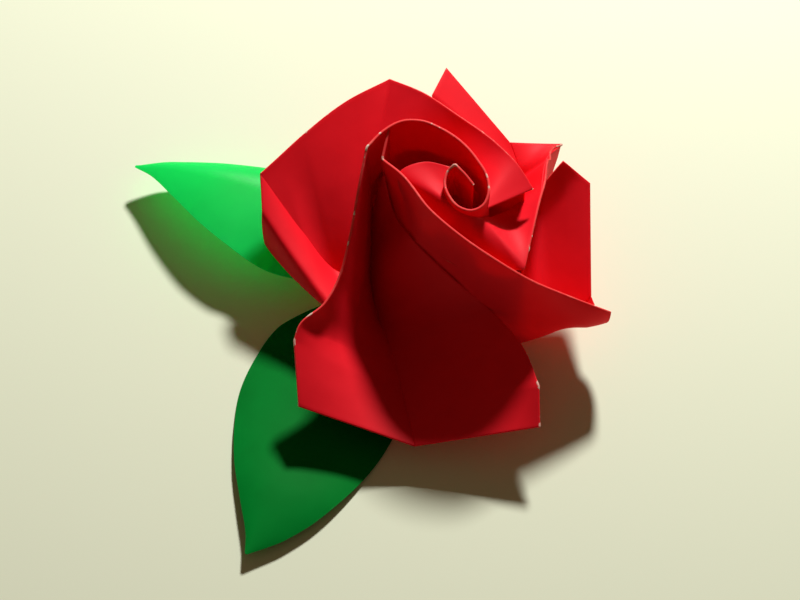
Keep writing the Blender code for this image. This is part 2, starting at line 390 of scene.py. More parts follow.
@dataclass
class Loft:
    """A paper surface ruled between a foot line and a rim line, station by station."""

    foot: Route
    rim: Route
    belly: Sequence[float] = (0.0,)
    first: float = 0.0  # the station of a shared foot line at which this surface starts
    bends: tuple[Bend, ...] = ()
    rim_folded: bool = True

    @property
    def last(self) -> int:
        """The last station."""
        return len(self.rim.points) - 1

    def bulge(self, s: float) -> float:
        """Reads how far the middle of the sheet stands out.

        Args:
            s: The station along the sheet.

        Returns:
            The distance in millimetres.
        """
        if len(self.belly) == 1:
            return self.belly[0]
        return float(np.interp(s, range(len(self.belly)), self.belly))

    def at(self, s: float, h: float, lift: float = 0.0) -> np.ndarray:
        """The unbent surface's point at one place.

        Args:
            s: The station along the sheet.
            h: The share of the way from the foot line to the rim.
            lift: How far the point is moved off the surface, to the side that a belly bulges to.

        Returns:
            The point.
        """
        low, high = self.foot.at(s + self.first), self.rim.at(s)
        out = self.bulge(s) * 4 * h * (1 - h) + lift
        if not out:
            return lerp(low, high, h)
        return lerp(low, high, h) + out * self.facing(s, h)

    def facing(self, s: float, h: float) -> np.ndarray:
        """The unit normal of the ruled surface at one place.

        Args:
            s: The station along the sheet.
            h: The share of the way from the foot line to the rim.

        Returns:
            The normal, or zeros where the sheet has no width.
        """
        step = 0.02
        ahead = min(s + step, self.last)
        back = ahead - step
        foot_run = self.foot.at(ahead + self.first) - self.foot.at(back + self.first)
        along = lerp(foot_run, self.rim.at(ahead) - self.rim.at(back), h)
        across = np.cross(along, self.rim.at(s) - self.foot.at(s + self.first))
        length = np.linalg.norm(across)
        return across / length if length > 1e-9 else np.zeros(3)

    def stations(self, pitch: float, rounding: float) -> np.ndarray:
        """Chooses the stations for a fine grid.

        Args:
            pitch: The largest step in millimetres.
            rounding: The radius of the sheet's ends.

        Returns:
            The stations, close together at both ends.
        """
        found = []
        for k in range(self.last):
            foot_run = np.linalg.norm(self.foot.at(k + 1 + self.first) - self.foot.at(k + self.first))
            rim_run = np.linalg.norm(self.rim.at(k + 1) - self.rim.at(k))
            count = max(3, math.ceil(max(foot_run, rim_run) / pitch))
            found += [k + j / count for j in range(count)]
        found.append(float(self.last))
        # How many millimetres of the rim a station is worth at either end
        step = 0.1
        start_run = self.rim.at(step) - self.rim.at(0)
        end_run = self.rim.at(self.last) - self.rim.at(self.last - step)
        speed = max(np.linalg.norm(start_run) / step, 1.0)
        end_speed = max(np.linalg.norm(end_run) / step, 1.0)
        near = [part * rounding / speed for part in ROUND]
        far = [self.last - part * rounding / end_speed for part in reversed(ROUND)]
        middle = [s for s in found if near[-1] * 1.2 < s < far[0] - near[-1] * 0.2]
        return np.array(near + middle + far)

    def grid(self, pitch: float, rounding: float) -> Grid:
        """Samples the surface finely, with its bends.

        Args:
            pitch: The largest step in millimetres.
            rounding: The radius of the sheet's outline.

        Returns:
            The grid.
        """
        stations = self.stations(pitch, rounding)
        low = np.array([self.foot.at(s + self.first) for s in stations])
        high = np.array([self.rim.at(s) for s in stations])
        height = np.linalg.norm(high - low, axis=1)
        rows = max(6, math.ceil(height.max() / pitch))
        inner = np.linspace(0, 1, rows + 1)
        cap = np.array(ROUND) * rounding
        shares = []
        for tall in height:
            edge = np.minimum(cap / max(tall, 1e-6), np.array(ROUND) * 0.3)
            between = edge[-1] + inner[1:-1] * (1 - 2 * edge[-1])
            shares.append(np.concatenate([edge, between, 1 - edge[::-1]]))
        h = np.array(shares)
        s = np.repeat(stations[:, None], h.shape[1], axis=1)
        points = low[:, None] * (1 - h[..., None]) + high[:, None] * h[..., None]
        belly = np.array([self.bulge(k) for k in stations])
        if np.any(belly):
            normal = np.array([self.facing(k, 0.5) for k in stations])[:, None]
            points = points + normal * (belly[:, None] * 4 * h * (1 - h))[..., None]
        swell = np.ones_like(h)
        count = len(ROUND)
        arc = np.array([math.sqrt(max(0.0, 1 - (1 - r) ** 2)) for r in ROUND])
        swell[:, :count] *= arc
        swell[:, -count:] *= arc[::-1]
        swell[:count] *= arc[:, None]
        swell[-count:] *= arc[::-1][:, None]
        edge = (1 - h) * height[:, None] if self.rim_folded else np.full_like(h, FAR)
        made = Grid(points, s, swell, edge)
        for bend in self.bends:
            bend.apply(self, made)
        return made


@dataclass
class SheetMesh:
    """Thickens grids to closed sheets with round edges and gathers them in one mesh."""

    half: float  # half the thickness
    fold_swell: float = 0.35  # the layers spring apart by this share next to a folded edge
    fold_reach: float = 0.7  # how far from the edge they do
    ripple: float = 0.07  # how far the paper wanders from a true surface
    ripple_mm: float = 11.0
    fine_share: float = 0.4  # a second, finer ripple, as a share of the first
    fine_scale: float = 0.35
    vertices: list = field(default_factory=list)
    faces: list = field(default_factory=list)
    edges: list = field(default_factory=list)

    def add(self, grid: Grid) -> None:
        """Adds one closed sheet.

        Args:
            grid: The middle surface.
        """
        normals = grid.normals()
        fine_mm = self.fine_scale * self.ripple_mm
        wander = np.array([
            [
                noise.noise(Vector(p) / self.ripple_mm) + self.fine_share * noise.noise(Vector(p) / fine_mm)
                for p in row
            ]
            for row in grid.points
        ])
        middle = grid.points + normals * (wander * self.ripple)[..., None]
        spring = 1 + self.fold_swell * np.exp(-grid.edge / self.fold_reach)
        out = normals * (self.half * grid.swell * spring)[..., None]
        rows, columns = grid.swell.shape
        start = len(self.vertices)
        top = np.arange(rows * columns).reshape(rows, columns) + start
        outline = grid.swell < 1e-6
        bottom = np.where(outline, top, 0)
        bottom[~outline] = start + rows * columns + np.arange(int((~outline).sum()))
        self.vertices += list((middle + out).reshape(-1, 3) * MM)
        self.vertices += list((middle - out)[~outline] * MM)
        self.edges += list(grid.edge.reshape(-1)) + list(grid.edge[~outline])
        for i in range(rows - 1):
            for j in range(columns - 1):
                self.faces.append((top[i, j], top[i + 1, j], top[i + 1, j + 1], top[i, j + 1]))
                self.faces.append((bottom[i, j], bottom[i, j + 1], bottom[i + 1, j + 1], bottom[i + 1, j]))

    def make(self, name: str, material: bpy.types.Material) -> bpy.types.Object:
        """Turns what was added into an object.

        Args:
            name: The piece's name.
            material: Its finish.

        Returns:
            The object, at the origin.
        """
        mesh = bpy.data.meshes.new(name)
        mesh.from_pydata([tuple(v) for v in self.vertices], [], self.faces)
        attribute = mesh.attributes.new(EDGE, "FLOAT", "POINT")
        attribute.data.foreach_set("value", np.array(self.edges, np.float32))
        bm = bmesh.new()
        bm.from_mesh(mesh)
        bmesh.ops.remove_doubles(bm, verts=bm.verts, dist=0.003 * MM)
        bmesh.ops.recalc_face_normals(bm, faces=bm.faces)
        bm.to_mesh(mesh)
        bm.free()
        mesh.shade_smooth()
        mesh.materials.append(material)
        thing = bpy.data.objects.new(name, mesh)
        bpy.context.scene.collection.objects.link(thing)
        return thing


@dataclass
class ShapeRule:
    """A Geometry Nodes tree with named inputs, which turns a simple guide into a finished mesh."""

    name: str
    inputs: dict[str, float | int | bpy.types.Material]

    def __post_init__(self) -> None:
        """Starts the tree with its inputs."""
        self.tree = bpy.data.node_groups.new(self.name, "GeometryNodeTree")
        face = self.tree.interface
        face.new_socket("Guide", in_out="INPUT", socket_type="NodeSocketGeometry")
        face.new_socket("Mesh", in_out="OUTPUT", socket_type="NodeSocketGeometry")
        kinds = {
            float: "NodeSocketFloat", int: "NodeSocketInt", bpy.types.Material: "NodeSocketMaterial",
        }
        for name, value in self.inputs.items():
            face.new_socket(name, in_out="INPUT", socket_type=kinds[type(value)])
        self.source = self.tree.nodes.new("NodeGroupInput").outputs

    def calc(self, operation: str, *values: object) -> Socket:
        """Adds one piece of arithmetic.

        Args:
            operation: The operation's name.
            *values: Its terms, each a number or an output.

        Returns:
            The result.
        """
        terms = {f"_{k}": value for k, value in enumerate(values)}
        return add_node(self.tree, "ShaderNodeMath", {"operation": operation}, **terms).outputs[0]

    def read(self, name: str) -> Socket:
        """Reads a named number of the guide's points.

        Args:
            name: The number's name.

        Returns:
            The number.
        """
        return add_node(
            self.tree, "GeometryNodeInputNamedAttribute", {"data_type": "FLOAT"}, Name=name
        ).outputs[0]

    def finish(self, mesh: Socket) -> None:
        """Ends the tree.

        Args:
            mesh: The geometry that the tree has made.
        """
        whole = add_node(self.tree, "GeometryNodeRealizeInstances", Geometry=mesh)
        dressed = add_node(
            self.tree, "GeometryNodeSetMaterial", Geometry=whole.outputs[0],
            Material=self.source["Material"],
        )
        add_node(self.tree, "NodeGroupOutput", Mesh=dressed.outputs[0])

    def run(self, guide: bpy.types.Mesh, name: str) -> bpy.types.Object:
        """Runs the tree on a guide.

        Args:
            guide: The guide, a line of points with their named numbers.
            name: The name of the piece.

        Returns:
            The piece as a plain mesh, at the origin.
        """
        thing = bpy.data.objects.new(name, guide)
        bpy.context.scene.collection.objects.link(thing)
        rule = thing.modifiers.new(self.name, "NODES")
        rule.node_group = self.tree
        for socket in self.tree.interface.items_tree:
            if socket.in_out == "INPUT" and socket.name in self.inputs:
                rule[socket.identifier] = self.inputs[socket.name]
        graph = bpy.context.evaluated_depsgraph_get()
        mesh = bpy.data.meshes.new_from_object(thing.evaluated_get(graph), depsgraph=graph)
        thing.modifiers.remove(rule)
        thing.data = mesh
        mesh.name = name
        return thing


def guide_line(runs: Sequence[np.ndarray], numbers: dict[str, np.ndarray]) -> bpy.types.Mesh:
    """Makes a guide for a shape rule.

    Args:
        runs: Lines of points in millimetres.
        numbers: Named numbers, one for each point of all the lines.

    Returns:
        A mesh of edges.
    """
    points = np.concatenate(runs) * MM
    edges, start = [], 0
    for run in runs:
        edges += [(k, k + 1) for k in range(start, start + len(run) - 1)]
        start += len(run)
    guide = bpy.data.meshes.new("guide")
    guide.from_pydata([tuple(p) for p in points], edges, [])
    for name, values in numbers.items():
        attribute = guide.attributes.new(name, "FLOAT", "POINT")
        attribute.data.foreach_set("value", np.asarray(values, np.float32))
    return guide


@dataclass
class FoldWear:
    """The bare paper that shows where folded edges and corners have been rubbed.

    A thin bead runs along each fold and comes out of the sheet only where a seeded pattern of
    patches, and the nearness of a corner, lift it.
    """

    half: float  # half the thickness of the folded edge
    pitch: float  # the largest step of the sheets' own grids, so that the beads lie on them
    rise: float = 0.045  # how far the bare fibres stand out where the wear is worst
    patch_mm: float = 1.5
    start_at: float = 0.54  # the level of the pattern at which the coating has gone
    ramp: float = 7.0  # how fast the bead swells past that level
    thin: float = 0.75  # the share of the radius that the bead starts from
    corner_reach: float = 0.7  # how far from a corner its wear goes
    seed: int = 7
    step: float = 0.2
    finish: PaperFinish = BARE_CORE

    def rule(self) -> ShapeRule:
        """Builds the tree.

        Returns:
            The rule.
        """
        made = ShapeRule("fold_wear", {
            "Radius": self.half * MM, "Rise": self.rise * MM, "Patch": self.patch_mm * MM,
            "Start": self.start_at, "Seed": self.seed, "Material": self.finish.material(),
        })
        tree, source, calc = made.tree, made.source, made.calc
        pattern = add_node(
            tree, "ShaderNodeTexNoise", {"noise_dimensions": "4D"}, W=source["Seed"],
            Scale=calc("DIVIDE", 1.0, source["Patch"]), Detail=4.0, Roughness=0.7,
        )
        level = calc("ADD", pattern.outputs["Fac"], made.read("rub"))
        over = calc("SUBTRACT", level, source["Start"])
        worn = add_node(
            tree, "GeometryNodeDeleteGeometry", {"domain": "POINT"}, Geometry=source["Guide"],
            Selection=calc("LESS_THAN", over, 0.0),
        )
        share = calc("MINIMUM", calc("MULTIPLY", over, self.ramp), 1.0)
        thin = calc("MULTIPLY", source["Radius"], self.thin)
        grown = calc("ADD", calc("MULTIPLY", source["Radius"], 1 - self.thin), source["Rise"])
        kept = add_node(
            tree, "GeometryNodeStoreNamedAttribute", {"data_type": "FLOAT", "domain": "POINT"},
            Geometry=worn.outputs[0], Name="bead", Value=calc("ADD", calc("MULTIPLY", share, grown), thin),
        )
        curve = add_node(tree, "GeometryNodeMeshToCurve", Mesh=kept.outputs[0])
        ring = add_node(tree, "GeometryNodeCurvePrimitiveCircle", Resolution=8, Radius=1.0)
        tube = add_node(
            tree, "GeometryNodeCurveToMesh", Curve=curve.outputs[0], Profile_Curve=ring.outputs[0],
            Scale=made.read("bead"), Fill_Caps=True,
        )
        smooth = add_node(tree, "GeometryNodeSetShadeSmooth", Geometry=tube.outputs[0])
        made.finish(smooth.outputs[0])
        return made

    def line(
        self, surface: Loft, corners: Sequence[int], rub: float, first: float = 0.0
    ) -> tuple[np.ndarray, np.ndarray]:
        """Follows the folded edge of one surface, with its bends.

        Args:
            surface: The surface.
            corners: The stations of its corners, where it is rubbed most.
            rub: How much its corners are rubbed, from 0 to 1.
            first: The station at which the edge comes into the open.

        Returns:
            The middle line of the fold, and how rubbed each point is.
        """
        grid = surface.grid(self.pitch, self.half)
        inward = grid.points[:, -1 - len(ROUND)] - grid.points[:, -1]
        inward /= np.maximum(np.linalg.norm(inward, axis=1, keepdims=True), 1e-6)
        fold = grid.points[:, -1] + inward * self.half
        fine_step = 0.02  # in stations
        fine = np.arange(first, surface.last, fine_step)
        ahead, tips = (
            np.stack([np.interp(stations, grid.s[:, -1], fold[:, k]) for k in range(3)], axis=1)
            for stations in (fine, corners)
        )
        points = []
        for place in ahead:
            if not points or np.linalg.norm(place - points[-1]) >= self.step:
                points.append(place)
        near = np.linalg.norm(np.array(points)[:, None] - tips, axis=2).min(axis=1)
        return np.array(points), rub * np.exp(-((near / self.corner_reach) ** 2))

    def build(
        self, edges: Sequence[tuple[Loft, Sequence[int], float, float]], name: str
    ) -> bpy.types.Object:
        """Builds the wear on several edges.

        Args:
            edges: Each surface with its corners, how rubbed they are, and where it comes into the open.
            name: The name of the piece.

        Returns:
            The piece.
        """
        lines = [self.line(*edge) for edge in edges]
        rubbed = np.concatenate([rub for _, rub in lines])
        guide = guide_line([points for points, _ in lines], {"rub": rubbed})
        return self.rule().run(guide, name)


@dataclass
class PaperRose:
    """The rose, one square of red paper folded into four petals round a rolled bud."""

    node: str = "rose"
    sheet: float = 0.36  # two layers, folded together
    base_sheet: float = 0.8
    lap: float = 0.42  # how far the front petal's right half lies off the wall that it laps over
    seat: float = 0.07  # how far a sheet's edge is moved off the sheet that it rests on
    curl_depth: float = 9.0  # how far down the roll goes
    arc_depth: float = 15.0  # and the arc round it
    pitch: float = 0.75  # the largest step of the sheets' grids
    finish: PaperFinish = RED_PAPER
    lofts: dict[str, Loft] = field(default_factory=dict)

    def __post_init__(self) -> None:
        """Works out every surface."""
        mid = self.base_sheet / 2
        self.south_west = np.array([-9.5, -4.5, mid])
        self.south_east = np.array([9.0, -9.5, mid])
        self.north_east = np.array([13.0, 7.5, mid])
        self.north_west = np.array([-7.5, 12.0, mid])
        self._front_wall()
        self._right_petal(mid)
        self._front_lap()
        self._left_petal()
        self._back_petal()
        self._outer_walls(mid)

    def _front_wall(self) -> None:
        """Draws the roll in the middle, the arc round it and the front petal's left half."""
        curl = [
            (4.2, 5.0, 27.0), (3.0, 6.5, 27.5), (1.3, 8.2, 28.0), (0.2, 7.6, 27.0), (-0.3, 6.2, 26.7),
            (0.3, 3.2, 26.7), (1.8, 1.3, 26.5), (3.8, 0.6, 26.5), (5.6, 1.4, 26.7), (6.5, 3.4, 27.0),
            (6.2, 6.9, 27.2), (5.0, 9.1, 27.4),
        ]
        arc = [
            (2.9, 12.1, 27.5), (-0.5, 15.0, 27.5), (-4.0, 16.7, 27.5), (-7.0, 16.8, 27.3),
            (-10.0, 15.0, 27.2),
        ]
        petal = [
            (-12.6, 12.1, 27.0), (-13.8, 7.0, 24.0), (-15.4, 0.3, 18.5), (-17.3, -5.3, 15.0),
            (-19.4, -9.0, 14.0), (-23.4, -12.5, 13.0), (-24.2, -14.7, 12.0), (-23.4, -24.4, 8.0),
        ]
        crease = [
            (-11.9, 11.5, 8.0), (-12.2, 6.0, 4.5), (-12.0, 0.0, 2.3), (-10.8, -4.7, 0.78),
            (-9.4, -8.5, 0.78), (-8.0, -14.0, 1.7), (-6.7, -20.4, 2.8), (-5.0, -29.4, 4.0),
        ]
        self.lofts["front_left"] = Loft(
            Route(below(curl, self.curl_depth) + below(arc, self.arc_depth) + crease),
            Route(curl + arc + petal, corners=(2, 17, 23)),
        )

    def _right_petal(self, mid: float) -> None:
        """Draws the half of the right petal that faces the front petal.

        Args:
            mid: The height of the base's middle.
        """
        front = self.lofts["front_left"]
        crease = [
            front.at(15.7, 0.1, -self.seat), (-8.0, 9.0, mid), (-8.7, 3.0, mid), self.south_west,
            (-2.0, -6.6, mid), self.south_east, (14.0, -9.0, 2.2), (18.0, -8.0, 3.6), (21.2, -6.4, 5.6),
            (23.4, -4.3, 8.0),
        ]
        rim = [
            front.at(15.7, UNDER_RIM, -self.seat), (-10.2, 11.1, 25.0), (-6.9, 7.4, 26.0), (-2.6, 1.1, 26.0),
            (2.4, -3.3, 25.0), (9.4, -7.3, 22.5), (13.5, -8.3, 19.8), (18.2, -8.9, 17.0), (22.6, -9.3, 14.4),
            (26.2, -9.6, 12.2),
        ]
        self.right_crease = Route(crease, corners=(1, 3, 5))
        self.lofts["right_left"] = Loft(
            self.right_crease, Route(rim, corners=(1,)), belly=(0, 0, 0, 0, 0, 0, 0.6, 1.8, 2.8, 3.0)
        )

    def _front_lap(self) -> None:
        """Draws the half of the front petal that laps over the right petal's wall."""
        wall = self.lofts["right_left"]
        places = ((1.1, 0.86), (1.7, 0.62), (2.9, 0.71), (4.0, 0.62), (4.8, 0.44))
        rests = [wall.at(s, h, self.lap) for s, h in places]
        self.lofts["front_right"] = Loft(
            self.lofts["front_left"].foot,
            Route([*rests, (12.5, -15.7, 10.5), (14.6, -21.8, 10.0), (14.7, -27.8, 7.5)], corners=(6,)),
            belly=(0, 0, 0.6, 1.2, 1.0, 0, 0, 0),
            first=17,
            rim_folded=False,
        )

    def _left_petal(self) -> None:
        """Draws the left petal, which opens from the front wall."""
        front = self.lofts["front_left"]
        seats = (
            (8.3, 0.75), (9.5, 0.7), (11.5, 0.55), (13.2, 0.45), (15.1, 0.37), (17.0, 0.35), (19.0, 0.35),
        )
        crease = [front.at(s, h, self.seat) for s, h in seats]
        crease += [(-17.3, 1.4, 6.0), (-23.4, 6.8, 10.0), (-30.0, 14.4, 15.4)]
        rim = [
            (13.8, 6.6, 23.1), (11.3, 10.4, 24.4), (8.2, 14.0, 24.8), (2.0, 20.1, 23.9), (-3.5, 25.4, 22.4),
            (-9.0, 29.7, 20.0), (-16.2, 26.3, 18.5), (-23.0, 21.0, 17.0), (-27.5, 16.8, 15.9),
            (-30.0, 14.4, 15.4),
        ]
        foot = Route(crease, corners=(5, 6))
        self.lofts["left_left"] = Loft(foot, Route(rim, corners=(5,)))
        near = [front.at(s, 0.5, self.seat) for s in (19.6, 20.3)] + [(-19.4, -6.1, 9.0), (-29.4, 4.2, 12.0)]
        curl = Bend(
            (2.03, 0.92), (2.73, 0.71), lean=-2.4, stations=(1.95, 3.0), reach=1.7, soft=0.15, mark=0.25
        )
        self.lofts["left_right"] = Loft(foot, Route(near, corners=(2,)), first=6, bends=(curl,))

    def _back_petal(self) -> None:
        """Draws the back petal, whose inner side runs on as a ramp round the roll."""
        front, right = self.lofts["front_left"], self.lofts["right_left"]
        seats = ((2.6, 0.7), (4.0, 0.75), (5.0, 0.82), (5.6, 0.86), (6.2, 0.86), (7.0, 0.82), (8.0, 0.6))
        crease = [front.at(s, h, self.seat) for s, h in seats]
        crease += [
            (8.0, 4.6, 18.4), (10.6, 7.4, 16.0), (12.2, 10.1, 14.6), (12.1, 13.2, 14.2), (11.7, 16.4, 14.8),
            (10.5, 20.0, 16.0),
        ]
        rim = [(0.5, 9.6, 25.0), (-3.5, 10.5, 25.0), (-7.5, 8.8, 24.5)]
        rim += [right.at(s, h, -self.seat) for s, h in ((2.3, 0.8), (3.4, 0.72), (4.4, 0.75))]
        rim += [
            (12.2, -7.0, 21.0), (13.4, -1.4, 21.0), (15.0, 6.6, 20.0), (16.0, 11.0, 18.8), (16.5, 15.0, 17.8),
            (17.5, 18.8, 16.0), (19.2, 20.8, 14.0),
        ]
        self.back_crease = Route(crease)
        tip_fold = Bend((10.9, 0.0), (10.6, 1.0), lean=0.45, stations=(10.2, 12.0), reach=3.0, mark=0.3)
        self.lofts["back_left"] = Loft(self.back_crease, Route(rim, corners=(6,)), bends=(tip_fold,))

    def _outer_walls(self, mid: float) -> None:
        """Draws the walls that hang from the back and left petals' folds, and from the arc's foot.

        Args:
            mid: The height of the base's middle.
        """
        back, left = self.lofts["back_left"], self.lofts["left_left"]
        front = self.lofts["front_left"]
        east_foot = [
            (9.5, -8.8, mid), (10.7, -2.5, mid), self.north_east, (15.5, 14.0, 5.0), (18.3, 19.8, 12.0),
        ]
        east = Loft(
            Route(east_foot, corners=(2,)),
            Route([back.at(s, UNDER_RIM) for s in (6, 7, 8, 10.5, 11.9)]),
            rim_folded=False,
        )
        north_foot = [
            self.north_east, (5.5, 9.8, mid), self.north_west, (-7.0, 17.0, 6.0), (-8.5, 26.5, 15.0),
        ]
        north = Loft(
            Route(north_foot, corners=(2,)),
            Route([left.at(s, UNDER_RIM) for s in (0.5, 2, 2.8, 4.1, 4.9)]),
            rim_folded=False,
        )
        self.lofts["east_wall"], self.lofts["north_wall"] = east, north
        west_foot = [
            (3.0, 9.9, mid), (0.0, 10.8, mid), (-3.0, 11.4, mid), (-5.6, 11.8, mid), self.north_west,
            (-8.3, 8.0, mid), (-8.9, 3.0, mid), self.south_west,
        ]
        self.lofts["west_wall"] = Loft(
            Route(west_foot, corners=(4,)),
            Route([front.at(s, OVER_FOOT) for s in (12, 13, 14, 15, 16, 17, 18.2, 19.9)]),
            rim_folded=False,
        )
        rests = [east.at(s, h, self.seat) for s, h in ((0.1, 0.35), (0.9, 0.47), (2.6, 0.66))]
        self.lofts["right_right"] = Loft(
            self.right_crease,
            Route([*rests, (19.2, 16.3, 16.0), (23.4, 12.8, 15.0)], corners=(3,)),
            first=5,
            bends=(Bend((2.79, 0.82), (3.6, 1.0), lean=0.35, stations=(2.0, 4.0), mark=0.2),),
        )
        rests = [north.at(0.8, 0.3, self.seat), north.at(1.8, 0.5, self.seat)]
        self.lofts["back_right"] = Loft(
            self.back_crease,
            Route([*rests, (-2.2, 26.5, 20.0), (0.2, 31.9, 20.0)], corners=(2,)),
            first=9,
        )

    def _base(self) -> Grid:
        """Lays out the flat base, where the paper is folded over itself and locked.

        Returns:
            Its middle surface.
        """
        side = Route([self.south_west, lerp(self.south_west, self.south_east, 0.6), self.south_east])
        far = Route([self.north_west, (5.5, 9.8, self.base_sheet / 2), self.north_east])
        return Loft(side, far, rim_folded=False).grid(pitch=3.0, rounding=0.3)

    def build(self) -> list[bpy.types.Object]:
        """Builds the petals and the base.

        Returns:
            The pieces.
        """
        paper = self.finish.material()
        groups = {
            "rose_front_petal": ("front_left", "front_right", "west_wall"),
            "rose_right_petal": ("right_left", "right_right"),
            "rose_back_petal": ("back_left", "back_right", "east_wall"),
            "rose_left_petal": ("left_left", "left_right", "north_wall"),
        }
        pieces = []
        for name, members in groups.items():
            sheets = SheetMesh(self.sheet / 2)
            for member in members:
                sheets.add(self.lofts[member].grid(self.pitch, self.sheet / 2))
            pieces.append(sheets.make(name, paper))
        base = SheetMesh(self.base_sheet / 2, fold_swell=0.0, ripple=0.0)
        base.add(self._base())
        pieces.append(base.make("rose_base", paper))
        for piece in pieces:
            settle(piece, self.node)
        worn = (
            ("front_left", (2, 17, 23, 24), 0.35, 0.0), ("right_left", (1,), 0.35, 0.9),
            ("left_left", (0, 5, 9), 0.15, 0.0), ("left_right", (2,), 0.2, 1.9),
            ("back_left", (12,), 0.3, 6.0), ("back_right", (3,), 0.2, 2.0),
            ("front_right", (6, 7), 0.3, 4.9), ("right_right", (3,), 0.1, 2.4),
        )
        edges = [(self.lofts[name], *rest) for name, *rest in worn]
        wear = FoldWear(self.sheet / 2, self.pitch).build(edges, "rose_fold_wear")
        settle(wear, self.node)
        pieces.append(wear)
        return pieces


def settle(piece: bpy.types.Object, node: str) -> None:
    """Ties a finished piece to the part.

    Args:
        piece: The piece.
        node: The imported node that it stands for.
    """
    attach(piece, "root")
    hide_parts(node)


STRAIGHT_SIDE = (
    (0, 0.0), (3.2, 1.3), (8.4, 4.6), (14.5, 8.4), (20, 10.9), (26.6, 12.9), (33.5, 13.1), (40.5, 11.8),
    (44.4, 9.1), (49, 4.8), (52, 0.0),
)
FULL_SIDE = (
    (0, 0.0), (4.5, 4.5), (8.9, 7.5), (15.4, 10.4), (21.3, 12.2), (26.6, 13.0), (34, 12.8), (41, 10.6),
    (47, 6.5), (52, 0.0),
)


@dataclass(frozen=True)
class LeafSide:
    """One side of a leaf: its cut edge, and how it turns down from the spine."""

    outline: Table  # how far along the spine, and how far out the edge is
    turns: Table  # how far along the spine, and the degrees turned between spine and edge

    def at(self, run: float) -> tuple[float, float]:
        """Reads one side at a place along the spine.

        Args:
            run: The place.

        Returns:
            The side's width along the paper, and the angle that it turns through, in radians.
        """
        degrees = float(np.interp(run, [p[0] for p in self.turns], [p[1] for p in self.turns]))
        narrowest = 0.03
        return max(smooth_table(self.outline, run), narrowest), math.radians(degrees)


def smooth_table(table: Table, place: float) -> float:
    """Reads a smooth curve through a table of pairs.

    Args:
        table: Pairs of a place and a value.
        place: The place that is asked for.

    Returns:
        The value there.
    """
    places = [p[0] for p in table]
    station = float(np.interp(place, places, range(len(places))))
    return float(Route([(x, y, 0) for x, y in table]).at(station)[1])


